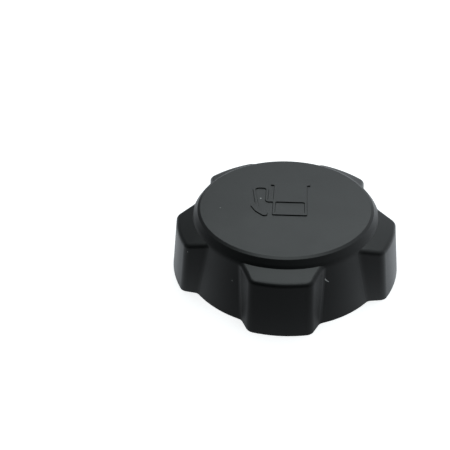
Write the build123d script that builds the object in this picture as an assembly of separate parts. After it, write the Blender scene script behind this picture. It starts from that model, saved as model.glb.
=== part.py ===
# Screw-on fuel cap: one moulded cap with five grip lobes, and the flat gasket that seals it.
# Frame: the origin is on the cap's axis in the plane of its rim, and +Z points up through the crown.
import os
from math import hypot, radians, sqrt, tan

from build123d import *

# Outside of the cap, in millimetres and degrees
lobe_count = 5
first_lobe_angle = -90.0        # the lobe that points along -Y
cap_height = 24.1
lobe_rim_diameter = 85.0        # over the lobes, at the rim
lobe_depth = 4.25               # how far a lobe stands out of the side wall, at the rim
wall_draft = 11.9               # lean of the side wall between the lobes
collar_height = 3.0             # steep collar between the side wall and the flat crown
collar_run = 2.45               # how far the collar leans in
crown_edge_chamfer = 0.6
shoulder_edge_radius = 5.0      # between the side wall and the collar
lobe_draft = 8.3                # lean of a lobe's outer face
lobe_rim_width = 21.0           # across a lobe's outer face, at the rim
lobe_side_draft = 1.2           # a lobe narrows this much on each side towards the top
lobe_side_splay = 27.3          # a lobe's sides open towards the axis
lobe_top_slope = 15.0           # a lobe's top falls away from the shoulder
lobe_nose_radius = 3.4
lobe_root_radius = 3.0
lobe_edge_radius = 1.8
lobe_root_depth = 2.0           # how far a lobe reaches into the side wall

# Inside of the cap
crown_thickness = 3.0
wall_thickness = 2.5
thread_ring_thickness = 2.8
channel_depth = 11.0            # hollow between the thread ring and the side wall
lobe_top_thickness = 2.8        # above the hollow in each lobe
rib_thickness = 1.8

# Gasket
gasket_diameter = 55.8
gasket_hole_diameter = 33.2
gasket_thickness = 4.7
gasket_clearance = 0.3          # all round, between the gasket and its seat
thread_clearance = 0.9          # all round, between the gasket and the root of the thread

# Sizes that follow
lobe_rim_radius = lobe_rim_diameter / 2
wall_rim_radius = lobe_rim_radius - lobe_depth
wall_lean = tan(radians(wall_draft))
shoulder_height = cap_height - collar_height
shoulder_radius = wall_rim_radius - wall_lean * shoulder_height
crown_radius = shoulder_radius - collar_run
lobe_top_fall = tan(radians(lobe_top_slope))
lobe_tip_height = shoulder_height - (lobe_rim_radius - shoulder_radius) * lobe_top_fall
pocket_depth = lobe_tip_height - lobe_top_thickness
gasket_radius = gasket_diameter / 2
seat_radius = gasket_radius + gasket_clearance
bore_radius = gasket_radius + thread_clearance
thread_ring_radius = bore_radius + thread_ring_thickness
seat_height = cap_height - crown_thickness
bore_depth = seat_height - gasket_thickness
lobe_step = 360 / lobe_count
upright = (Align.CENTER, Align.CENTER, Align.MIN)


def wall_radius_at(height):
    """Radius of the side wall between the lobes."""
    return wall_rim_radius - wall_lean * height


def lobe_radius_at(height):
    """Radius of a lobe's outer face."""
    return lobe_rim_radius - tan(radians(lobe_draft)) * height


def lobe_width_at(height):
    """Width of a lobe's outer face."""
    return lobe_rim_width - 2 * tan(radians(lobe_side_draft)) * height


def around(shape, start=first_lobe_angle):
    """One copy of a shape for each lobe."""
    return [Rot(0, 0, start + n * lobe_step) * shape for n in range(lobe_count)]


def lobe_blank(radius, width):
    """Plan of a lobe along +X: its outer arc, and two sides that open towards the axis."""
    half = width / 2
    nose_x = sqrt(radius**2 - half**2)
    splay = tan(radians(lobe_side_splay))
    root_half = half + nose_x * splay
    tip_half = half - (radius - nose_x) * splay
    sides = Polygon(
        (0, -root_half), (radius, -tip_half), (radius, tip_half), (0, root_half), align=None
    )
    return sides & Circle(radius)


def on_circle(vertices, radius):
    """The vertices that lie on a circle about the axis."""
    return [v for v in vertices if abs(hypot(v.X, v.Y) - radius) < 1e-4]


def lobe_plan(height):
    """Section of a lobe with its nose and root rounded, cut off inside the side wall."""
    radius = lobe_radius_at(height)
    wall = wall_radius_at(height)
    outline = lobe_blank(radius, lobe_width_at(height)) + Circle(wall)
    outline = fillet(on_circle(outline.vertices(), radius), lobe_nose_radius)
    outline = fillet(on_circle(outline.vertices(), wall), lobe_root_radius)
    foot = on_circle(outline.vertices(), wall)[0]
    reach = 2 * foot.X
    spread = 2 * abs(foot.Y)
    wedge = Polygon((0, 0), (reach, -spread), (reach, spread), align=None)
    return Pos(0, 0, height) * ((outline & wedge) - Circle(wall - lobe_root_depth))


def make_lobe():
    """A lobe along +X: a drafted block under a sloping top, with its top edge rounded."""
    block = loft([lobe_plan(0), lobe_plan(cap_height)], ruled=True)
    apex = shoulder_height + shoulder_radius * lobe_top_fall
    reach = 2 * lobe_rim_radius
    section = Polygon(
        (0, -reach), (reach, -reach), (reach, apex - reach * lobe_top_fall), (0, apex), align=None
    )
    lobe = block & revolve(Plane.XZ * section, Axis.Z)
    top = lobe.faces().sort_by(Axis.Z)[-1]

    def outside_wall(edge):
        middle = edge.center()
        return hypot(middle.X, middle.Y) > wall_radius_at(middle.Z)

    return fillet(top.edges().filter_by(outside_wall), lobe_edge_radius)


def make_core():
    """The turned form inside the lobes: side wall, steep collar and flat crown."""
    section = Polygon(
        (0, 0),
        (wall_rim_radius, 0),
        (shoulder_radius, shoulder_height),
        (crown_radius, cap_height),
        (0, cap_height),
        align=None,
    )
    shoulder = section.vertices().sort_by(Axis.X)[-2]
    section = fillet(shoulder, shoulder_edge_radius)
    crown_edge = section.vertices().filter_by(lambda v: v.X > 0).sort_by(Axis.Y)[-1]
    section = chamfer(crown_edge, crown_edge_chamfer)
    return revolve(Plane.XZ * section, Axis.Z)


def make_hollows():
    """Hollows of the moulding: a channel round the thread ring, a pocket in each lobe, ribs left across."""
    channel = Cone(
        wall_rim_radius - wall_thickness,
        wall_radius_at(channel_depth) - wall_thickness,
        channel_depth,
        align=upright,
    )

    def pocket_plan(height):
        radius = lobe_radius_at(height) - wall_thickness
        return Pos(0, 0, height) * lobe_blank(radius, lobe_width_at(height) - 2 * wall_thickness)

    pocket = loft([pocket_plan(0), pocket_plan(pocket_depth)], ruled=True)
    ring = Cylinder(thread_ring_radius, cap_height, align=upright)
    rib = Box(
        lobe_rim_radius, rib_thickness, cap_height, align=(Align.MIN, Align.CENTER, Align.MIN)
    )
    ribs = around(rib) + around(rib, first_lobe_angle + lobe_step / 2)
    return channel + around(pocket) - ring - ribs


def make_cap():
    """The whole moulding, open at the rim: a bore at the thread's root, the gasket's seat above it."""
    bore = Cylinder(bore_radius, bore_depth, align=upright)
    seat = Pos(0, 0, bore_depth) * Cylinder(seat_radius, gasket_thickness, align=upright)
    return make_core() + around(make_lobe()) - make_hollows() - bore - seat


def make_gasket():
    """Flat ring cut from sheet, pressed up against the underside of the crown."""
    ring = Circle(gasket_radius) - Circle(gasket_hole_diameter / 2)
    return Pos(0, 0, bore_depth) * extrude(ring, gasket_thickness)


os.makedirs("parts", exist_ok=True)
export_step(make_cap(), "parts/cap.step")
export_step(make_gasket(), "parts/gasket.step")
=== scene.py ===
import math

import bpy
import numpy as np
from mathutils import Matrix, Vector
from mathutils.geometry import tessellate_polygon


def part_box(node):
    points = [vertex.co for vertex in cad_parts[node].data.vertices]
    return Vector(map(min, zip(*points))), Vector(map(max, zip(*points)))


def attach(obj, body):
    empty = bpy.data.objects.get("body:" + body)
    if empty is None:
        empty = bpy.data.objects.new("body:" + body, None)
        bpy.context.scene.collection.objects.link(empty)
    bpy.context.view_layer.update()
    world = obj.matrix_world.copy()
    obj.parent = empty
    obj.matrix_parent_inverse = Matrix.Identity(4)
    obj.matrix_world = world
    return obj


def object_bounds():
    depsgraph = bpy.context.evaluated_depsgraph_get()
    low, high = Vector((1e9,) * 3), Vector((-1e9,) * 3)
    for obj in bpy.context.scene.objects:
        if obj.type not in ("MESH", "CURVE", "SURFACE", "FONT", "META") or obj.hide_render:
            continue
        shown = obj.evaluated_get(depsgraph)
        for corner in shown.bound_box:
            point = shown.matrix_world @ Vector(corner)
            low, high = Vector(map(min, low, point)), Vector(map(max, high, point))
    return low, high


# Fuel cap: finishes for the moulded cap and its gasket, the pump sign on the crown and the thread inside
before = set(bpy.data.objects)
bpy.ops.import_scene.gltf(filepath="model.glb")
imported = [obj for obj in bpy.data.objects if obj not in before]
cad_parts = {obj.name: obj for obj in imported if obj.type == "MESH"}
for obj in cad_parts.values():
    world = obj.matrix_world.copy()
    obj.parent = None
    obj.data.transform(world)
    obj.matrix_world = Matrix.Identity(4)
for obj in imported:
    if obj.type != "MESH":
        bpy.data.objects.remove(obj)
cadLow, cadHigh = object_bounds()
mm = 0.001
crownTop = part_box("cap")[1].z
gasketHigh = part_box("gasket")[1]
scene = bpy.context.scene
print("frame: cap %.1f mm high" % (crownTop / mm))


# Quads between neighbours of a grid of points; they face along (next column) x (next row)
def gridQuads(rows, columns, closeColumns=False):
    ids = np.arange(rows * columns).reshape(rows, columns)
    if closeColumns:
        ids = np.concatenate([ids, ids[:, :1]], 1)
    corners = [ids[:-1, :-1], ids[:-1, 1:], ids[1:, 1:], ids[1:, :-1]]
    return np.stack(corners, -1).reshape(-1, 4)


def smoothStep(x):
    x = np.clip(x, 0, 1)
    return x * x * (3 - 2 * x)


# A piece on the cap's body; the last of its faces may be flat ones, and the others are shaded smooth
def addPiece(name, points, faces, material, flatFaces=0):
    mesh = bpy.data.meshes.new(name)
    mesh.from_pydata(points.reshape(-1, 3).tolist(), [], faces)
    mesh.materials.append(material)
    mesh.polygons.foreach_set("use_smooth", np.arange(len(faces)) < len(faces) - flatFaces)
    piece = bpy.data.objects.new(name, mesh)
    scene.collection.objects.link(piece)
    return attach(piece, "root")


# A node with its settings; an input given as a socket is linked, and any other is set
def addNode(tree, kind, values=None, **settings):
    node = tree.nodes.new(kind)
    for key, value in settings.items():
        setattr(node, key, value)
    for key, value in (values or {}).items():
        if isinstance(value, bpy.types.NodeSocket):
            tree.links.new(value, node.inputs[key])
        else:
            node.inputs[key].default_value = value
    return node


def doMath(tree, operation, first, second=0.0, clamp=False):
    values = {0: first, 1: second}
    return addNode(tree, "ShaderNodeMath", values, operation=operation, use_clamp=clamp).outputs[0]


def doVector(tree, operation, first, second=(0, 0, 0)):
    node = addNode(tree, "ShaderNodeVectorMath", {0: first, 1: second}, operation=operation)
    return node.outputs["Value" if operation in ("DOT_PRODUCT", "LENGTH", "DISTANCE") else "Vector"]


def mapRange(tree, value, given, wanted, **settings):
    values = {
        "Value": value,
        "From Min": given[0], "From Max": given[1],
        "To Min": wanted[0], "To Max": wanted[1],
    }
    return addNode(tree, "ShaderNodeMapRange", values, **settings).outputs[0]


def mixColour(tree, share, first, second):
    return addNode(tree, "ShaderNodeMix", {0: share, 6: first, 7: second}, data_type="RGBA").outputs[2]


def newGroup(name, inputs, outputs):
    group = bpy.data.node_groups.new(name, "ShaderNodeTree")
    for label, kind, value in inputs:
        group.interface.new_socket(label, in_out="INPUT", socket_type=kind).default_value = value
    for label, kind in outputs:
        group.interface.new_socket(label, in_out="OUTPUT", socket_type=kind)
    return group, group.nodes.new("NodeGroupInput").outputs, group.nodes.new("NodeGroupOutput").inputs


# Moulded skin: a fine even grain, and broad soft patches where hands have polished it
def makeSkinGroup():
    number = "NodeSocketFloat"
    group, given, put = newGroup(
        "mouldedSkin",
        [("Grain Scale", number, 3000.0), ("Patch Scale", number, 60.0)],
        [("Grain", number), ("Patches", number)],
    )
    place = addNode(group, "ShaderNodeTexCoord").outputs["Object"]
    grain = {"Vector": place, "Scale": given["Grain Scale"], "Detail": 2.0, "Roughness": 0.55}
    patches = {
        "Vector": place, "Scale": given["Patch Scale"],
        "Detail": 4.0, "Roughness": 0.6, "Distortion": 0.4,
    }
    group.links.new(addNode(group, "ShaderNodeTexNoise", grain).outputs[0], put["Grain"])
    group.links.new(addNode(group, "ShaderNodeTexNoise", patches).outputs[0], put["Patches"])
    return group


# Small mark: full within half a radius of the line from one point to another, and gone at 1.3 radii
def makeMarkGroup():
    point = "NodeSocketVector"
    group, given, put = newGroup(
        "smallMark",
        [("From", point, (0, 0, 0)), ("To", point, (0, 0, 0)), ("Radius", "NodeSocketFloat", 0.2 * mm)],
        [("Mask", "NodeSocketFloat")],
    )
    place = addNode(group, "ShaderNodeTexCoord").outputs["Object"]
    along = doVector(group, "SUBTRACT", given["To"], given["From"])
    reach = doVector(group, "SUBTRACT", place, given["From"])
    length = doMath(group, "MAXIMUM", doVector(group, "DOT_PRODUCT", along, along), 1e-12)
    share = doMath(group, "DIVIDE", doVector(group, "DOT_PRODUCT", reach, along), length, clamp=True)
    foot = addNode(group, "ShaderNodeVectorMath", {0: along, "Scale": share}, operation="SCALE").outputs[0]
    away = doMath(group, "DIVIDE", doVector(group, "DISTANCE", reach, foot), given["Radius"])
    mask = mapRange(group, away, (1.3, 0.5), (0.0, 1.0), interpolation_type="SMOOTHSTEP")
    group.links.new(mask, put["Mask"])
    return group


skinGroup = makeSkinGroup()
markGroup = makeMarkGroup()
print("effects: moulded skin and small marks")


def newMaterial(name):
    material = bpy.data.materials.new(name)
    material.use_nodes = True
    material.node_tree.nodes.clear()
    return material, material.node_tree


patchRange = (0.3, 0.7)     # most of what the noise of the patches spans


# Surface of a finish: its roughness follows the broad patches, and the fine grain stands out of it
def dressSurface(tree, look, colour):
    scales = {"Grain Scale": look["grainScale"], "Patch Scale": look["patchScale"]}
    skin = addNode(tree, "ShaderNodeGroup", scales, node_tree=skinGroup).outputs
    bump = {"Height": skin["Grain"], "Strength": 1.0, "Distance": look["grainDepth"]}
    surface = {
        "Base Color": colour,
        "Roughness": mapRange(tree, skin["Patches"], patchRange, look["roughness"]),
        "Specular IOR Level": look["specular"],
        "Normal": addNode(tree, "ShaderNodeBump", bump).outputs[0],
    }
    shader = addNode(tree, "ShaderNodeBsdfPrincipled", surface).outputs[0]
    addNode(tree, "ShaderNodeOutputMaterial", {"Surface": shader})


# Satin black moulding, with a few pale specks and a scuff
capPlastic = {
    "colour": (0.0029, 0.0036, 0.0035, 1),
    "markColour": (0.55, 0.55, 0.54, 1),
    "specular": 0.45,
    "roughness": (0.33, 0.40),
    "grainScale": 3200.0,
    "grainDepth": 0.012 * mm,
    "patchScale": 55.0,
    "marks": [  # from, to, radius, strength, in millimetres
        ((-8.86, 3.08, 24.1), (-8.84, 3.12, 24.1), 0.26, 1.0),
        ((-23.12, -3.86, 24.1), (-23.0, -3.8, 24.1), 0.2, 0.3),
        ((-32.75, -21.72, 17.3), (-32.7, -21.7, 17.4), 0.22, 0.3),
        ((-16.39, -31.35, 13.5), (-16.3, -31.4, 13.6), 0.25, 0.2),
        ((14.23, -31.78, 16.3), (14.72, -31.71, 15.6), 0.2, 0.9),
        ((14.72, -31.71, 15.6), (15.41, -31.51, 15.0), 0.16, 0.6),
    ],
}


def makeCapPlastic():
    look = capPlastic
    material, tree = newMaterial("satinBlackPlastic")
    marks = None
    for start, end, radius, strength in look["marks"]:
        line = {"From": Vector(start) * mm, "To": Vector(end) * mm, "Radius": radius * mm}
        mask = addNode(tree, "ShaderNodeGroup", line, node_tree=markGroup).outputs["Mask"]
        level = doMath(tree, "MULTIPLY", mask, strength)
        marks = level if marks is None else doMath(tree, "MAXIMUM", marks, level)
    dressSurface(tree, look, mixColour(tree, marks, look["colour"], look["markColour"]))
    return material


# Dull black sheet rubber
gasketRubber = {
    "colour": (0.013, 0.013, 0.013, 1),
    "specular": 0.5,
    "roughness": (0.62, 0.8),
    "grainScale": 1800.0,
    "grainDepth": 0.03 * mm,
    "patchScale": 90.0,
}


def makeGasketRubber():
    material, tree = newMaterial("blackSheetRubber")
    dressSurface(tree, gasketRubber, gasketRubber["colour"])
    return material


plastic = makeCapPlastic()
for nodeName, finish in (("cap", plastic), ("gasket", makeGasketRubber())):
    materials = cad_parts[nodeName].data.materials
    materials.clear()
    materials.append(finish)
print("finishes: satin plastic and sheet rubber")

# Sign of a fuel pump, raised on the crown
pumpSign = {
    "height": 0.35,     # above the crown, in millimetres as all of these
    "sunk": 0.1,
    "lean": 0.14,       # how far its walls lean in
    "edge": 0.06,       # rounding of the upper edge
    "outline": [  # x, y and corner radius, anticlockwise
        (-4.3, -7.6, 0.6), (8.2, -7.6, 0.6),                              # near end of the body
        (8.2, 12.0, 0.3), (9.4, 12.0, 0.3), (9.4, 13.3, 0.3),             # foot, right
        (-5.6, 13.3, 0.3), (-5.6, 12.0, 0.3), (-4.3, 12.0, 0.3),          # foot, left
        (-4.3, 1.9, 0.3), (-6.1, 1.9, 0.4),                               # hose leaves the body
        (-6.1, 11.0, 2.0), (-12.6, 11.0, 2.0),                            # outside of the bend
        (-10.75, -0.5, 0.3), (-12.4, -2.0, 0.4),                          # nozzle, far end
        (-10.4, -5.6, 6.0), (-7.4, -8.3, 1.4), (-5.8, -8.0, 0.8), (-5.8, -6.4, 0.3),
        (-9.0, -3.2, 0.3),                                                # nozzle meets the hose
        (-11.3, 9.8, 1.2), (-7.2, 9.8, 1.2),                              # inside of the bend
        (-7.2, 0.5, 1.4), (-4.3, 0.5, 0.3),
    ],
    "window": [(-3.2, -6.4, 0.5), (-3.2, 0.6, 0.5), (7.1, 0.6, 0.5), (7.1, -6.4, 0.5)],
    "arcSteps": 8,
    "edgeSteps": 4,
}


# Each corner of a loop becomes an arc tangent to both its sides; also gives the unit normal out of the
# material, which lies on the left of the direction of travel
def roundedLoop(corners, steps):
    rows = np.array(corners, float)
    corner, radius = rows[:, :2], rows[:, 2]
    back = np.roll(corner, 1, 0) - corner
    ahead = np.roll(corner, -1, 0) - corner
    back /= np.linalg.norm(back, axis=1, keepdims=True)
    ahead /= np.linalg.norm(ahead, axis=1, keepdims=True)
    half = np.arccos(np.clip((back * ahead).sum(1), -1, 1)) / 2
    inward = back + ahead
    inward /= np.linalg.norm(inward, axis=1, keepdims=True)
    centre = corner + inward * (radius / np.sin(half))[:, None]
    spoke = corner + back * (radius / np.tan(half))[:, None] - centre
    side = np.sign(ahead[:, 0] * back[:, 1] - ahead[:, 1] * back[:, 0])   # +1 turns left, -1 turns right
    angle = (side * (np.pi - 2 * half))[:, None] * np.linspace(0, 1, steps)
    cos, sin = np.cos(angle), np.sin(angle)
    turned = np.stack(
        [spoke[:, :1] * cos - spoke[:, 1:] * sin, spoke[:, :1] * sin + spoke[:, 1:] * cos], -1
    )
    points = (centre[:, None] + turned).reshape(-1, 2)
    normals = (turned * (side / radius)[:, None, None]).reshape(-1, 2)
    return points, normals


# Wall of each loop: it rises from below the crown and leans in, then a quarter round; flat faces fill
# the top and the foot
def makePumpSign():
    look = pumpSign
    edge, top = look["edge"], look["height"]
    quarter = np.linspace(0, np.pi / 2, look["edgeSteps"])
    footInset = -look["lean"] * look["sunk"] / top
    inset = np.concatenate([[footInset], look["lean"] + edge * (1 - np.cos(quarter))])
    level = np.concatenate([[-look["sunk"]], top - edge + edge * np.sin(quarter)])
    points, faces, tops, feet, first = [], [], [], [], 0
    for corners in (look["outline"], look["window"]):
        flat, normal = roundedLoop(corners, look["arcSteps"])
        place = flat[None] - inset[:, None, None] * normal[None]
        height = np.broadcast_to(level[:, None, None], place.shape[:2] + (1,))
        grid = np.concatenate([place, height], 2)
        rows, columns = grid.shape[:2]
        ids = first + np.arange(rows * columns).reshape(rows, columns)
        faces += (gridQuads(rows, columns, True) + first).tolist()
        points.append(grid.reshape(-1, 3))
        tops.append(ids[-1])
        feet.append(ids[0])
        first += rows * columns
    points = np.concatenate(points)
    tops, feet = np.concatenate(tops), np.concatenate(feet)
    loops = np.split(points[tops], [len(look["outline"]) * look["arcSteps"]])
    fill = np.array(tessellate_polygon([loop.tolist() for loop in loops]))
    a, b, c = (points[tops[fill[:, k]], :2] for k in range(3))
    area = (b[:, 0] - a[:, 0]) * (c[:, 1] - a[:, 1]) - (b[:, 1] - a[:, 1]) * (c[:, 0] - a[:, 0])
    fill[area < 0] = fill[area < 0][:, ::-1]
    faces += tops[fill].tolist() + feet[fill[:, ::-1]].tolist()
    points = points * mm + np.array([0, 0, crownTop])
    return addPiece("pump_sign", points, faces, plastic, 2 * len(fill))


makePumpSign()
print("pump sign: raised on the crown")

# Thread inside the bore
threadRidge = {
    "clearance": 0.9,    # bore outside the gasket, in millimetres as all of these
    "depth": 1.3,
    "sunk": 0.3,
    "pitch": 4.5,
    "start": 2.6,
    "turns": 2.5,
    "rootWidth": 3.2,
    "flank": 0.6,        # share of the half width over which each side rises
    "runOut": 0.12,      # turns over which each end rises out of the wall
    "stepsPerTurn": 120,
    "stepsAcross": 15,
}


# Helix on the bore: across the ridge its height follows a rounded trapezoid, and it fades into the wall
# at both ends
def makeThread():
    look = threadRidge
    bore = gasketHigh.x / mm + look["clearance"]
    turn = np.linspace(0, look["turns"], int(look["turns"] * look["stepsPerTurn"]) + 1)[:, None]
    across = np.linspace(-1, 1, look["stepsAcross"])[None]
    ends = smoothStep(np.minimum(turn, look["turns"] - turn) / look["runOut"])
    shape = smoothStep((1 - np.abs(across)) / look["flank"])
    radius = bore + look["sunk"] - (look["sunk"] + look["depth"]) * ends * shape
    angle = 2 * np.pi * turn + 0 * across
    height = look["start"] + look["pitch"] * turn + across * look["rootWidth"] / 2
    points = np.stack([radius * np.cos(angle), radius * np.sin(angle), height], -1)
    faces = gridQuads(*points.shape[:2], True)
    return addPiece("thread_ridge", points * mm, faces.tolist(), plastic)


makeThread()
print("thread: ridge in the bore")

# Pale floor, a soft room that is brighter behind the cap and on the right, and one softbox above
studio = {
    "floorColour": (0.8, 0.8, 0.8, 1),
    "floorSize": 3.0,
    "floorGlow": (0.70, 1.0),        # white added for the camera: at the cap, and far from it
    "floorFade": (0.15, 0.6),        # metres from the axis between which that changes
    "floorMirrored": (0.24, 1.0),    # what the plastic mirrors of the floor: in front of the cap, and behind
    "floorLeft": 0.8,                # the floor on the left is dimmer
    "floorNear": 1.5,                # and close to the cap it is brighter, up to white
    "nearFade": (1.0, 1.5),          # times the cap's half width, between which that fades
    "roomLevel": (0.01, 0.66),       # the room on the camera's side, and behind the cap
    "roomLeft": 0.3,
    "roomColour": (0.94, 1.0, 1.05, 1),
    "fadeDepth": (-0.9, 0.3),        # from the near side to the far side
    "fadeSide": (-0.5, 0.2),         # from left to right
    "softbox": {"azimuth": 4.0, "elevation": 73.0, "distance": 0.8, "size": (0.54, 1.2), "power": 3.45},
    "softboxColour": (0.91, 1.0, 1.0),
}


# Level that rises from the near side to the far side, and from left to right
def fadeLevel(tree, way, levels, leftShare):
    axis = addNode(tree, "ShaderNodeSeparateXYZ", {0: way}).outputs
    depth = mapRange(tree, axis["Y"], studio["fadeDepth"], levels)
    side = mapRange(tree, axis["X"], studio["fadeSide"], (leftShare, 1.0))
    return doMath(tree, "MULTIPLY", depth, side)


# 1 for rays from the camera, and for those that pass through something clear
def seenDirectly(tree, light):
    return doMath(tree, "MAXIMUM", light["Is Camera Ray"], light["Is Transmission Ray"])


def makeFloor():
    half = studio["floorSize"] / 2
    mesh = bpy.data.meshes.new("floor")
    corners = [(-half, -half, 0), (half, -half, 0), (half, half, 0), (-half, half, 0)]
    mesh.from_pydata(corners, [], [(0, 1, 2, 3)])
    floor = bpy.data.objects.new("floor", mesh)
    scene.collection.objects.link(floor)
    material, tree = newMaterial("paleFloor")
    material.cycles.emission_sampling = "NONE"
    light = addNode(tree, "ShaderNodeLightPath").outputs
    place = addNode(tree, "ShaderNodeTexCoord").outputs["Object"]
    paint = addNode(tree, "ShaderNodeBsdfDiffuse", {"Color": studio["floorColour"]}).outputs[0]
    away = doVector(tree, "LENGTH", place)
    white = mapRange(tree, away, studio["floorFade"], studio["floorGlow"])
    strength = doMath(tree, "MULTIPLY", seenDirectly(tree, light), white)
    glow = addNode(tree, "ShaderNodeEmission", {"Strength": strength}).outputs[0]
    plain = addNode(tree, "ShaderNodeAddShader", {0: paint, 1: glow}).outputs[0]
    level = fadeLevel(tree, doVector(tree, "NORMALIZE", place), studio["floorMirrored"], studio["floorLeft"])
    reach = doMath(tree, "DIVIDE", away, cadHigh.x)
    near = mapRange(tree, reach, studio["nearFade"], (studio["floorNear"], 1.0))
    level = doMath(tree, "MULTIPLY", level, near, clamp=True)
    emitted = {"Color": studio["roomColour"], "Strength": level}
    mirrored = addNode(tree, "ShaderNodeEmission", emitted).outputs[0]
    shares = {0: light["Is Glossy Ray"], 1: plain, 2: mirrored}
    shown = addNode(tree, "ShaderNodeMixShader", shares).outputs[0]
    addNode(tree, "ShaderNodeOutputMaterial", {"Surface": shown})
    mesh.materials.append(material)


def makeWorld():
    world = bpy.data.worlds.new("studio")
    scene.world = world
    world.use_nodes = True
    tree = world.node_tree
    tree.nodes.clear()
    seen = seenDirectly(tree, addNode(tree, "ShaderNodeLightPath").outputs)
    way = addNode(tree, "ShaderNodeTexCoord").outputs["Generated"]
    room = fadeLevel(tree, way, studio["roomLevel"], studio["roomLeft"])
    emitted = {
        "Color": mixColour(tree, seen, studio["roomColour"], (1, 1, 1, 1)),
        "Strength": doMath(tree, "MAXIMUM", seen, room),
    }
    sky = addNode(tree, "ShaderNodeBackground", emitted).outputs[0]
    addNode(tree, "ShaderNodeOutputWorld", {"Surface": sky})


# Unit vector; azimuth 0 is +Y, turning towards +X
def direction(azimuth, elevation):
    a, e = math.radians(azimuth), math.radians(elevation)
    return Vector((math.sin(a) * math.cos(e), math.cos(a) * math.cos(e), math.sin(e)))


def makeSoftbox():
    look = studio["softbox"]
    lamp = bpy.data.lights.new("softbox", "AREA")
    lamp.shape = "RECTANGLE"
    lamp.size, lamp.size_y = look["size"]
    lamp.energy = look["power"]
    lamp.color = studio["softboxColour"]
    holder = bpy.data.objects.new("softbox", lamp)
    toward = direction(look["azimuth"], look["elevation"])
    holder.location = toward * look["distance"]
    holder.rotation_euler = toward.to_track_quat("Z", "Y").to_euler()
    scene.collection.objects.link(holder)


# The camera stands at the angle of the photograph, and its aim lies beside the cap, which sits right of
# the middle
photoView = {
    "azimuth": 7.891,
    "elevation": 35.703,
    "distance": 248.21 * mm,
    "aim": (-24.80 * mm, 18.78 * mm, 0.0),
    "roll": -2.735,
    "lens": 47.63,
    "sensor": 36.0,
    "clipStart": 0.01,
}


def makeCamera():
    look = photoView
    camera = bpy.data.cameras.new("camera")
    camera.lens = look["lens"]
    camera.sensor_width = look["sensor"]
    camera.clip_start = look["clipStart"]
    holder = bpy.data.objects.new("camera", camera)
    roll = math.radians(look["roll"])
    back = direction(180 - look["azimuth"], look["elevation"])
    right = Vector((0, 0, 1)).cross(back).normalized()
    up = back.cross(right)
    across = right * math.cos(roll) + up * math.sin(roll)
    upward = up * math.cos(roll) - right * math.sin(roll)
    turn = Matrix((across, upward, back)).transposed().to_4x4()
    holder.matrix_world = Matrix.Translation(Vector(look["aim"]) + back * look["distance"]) @ turn
    scene.collection.objects.link(holder)
    scene.camera = holder


makeFloor()
makeWorld()
makeSoftbox()
makeCamera()
scene.view_settings.view_transform = "Standard"
print("studio: floor, softbox and camera")
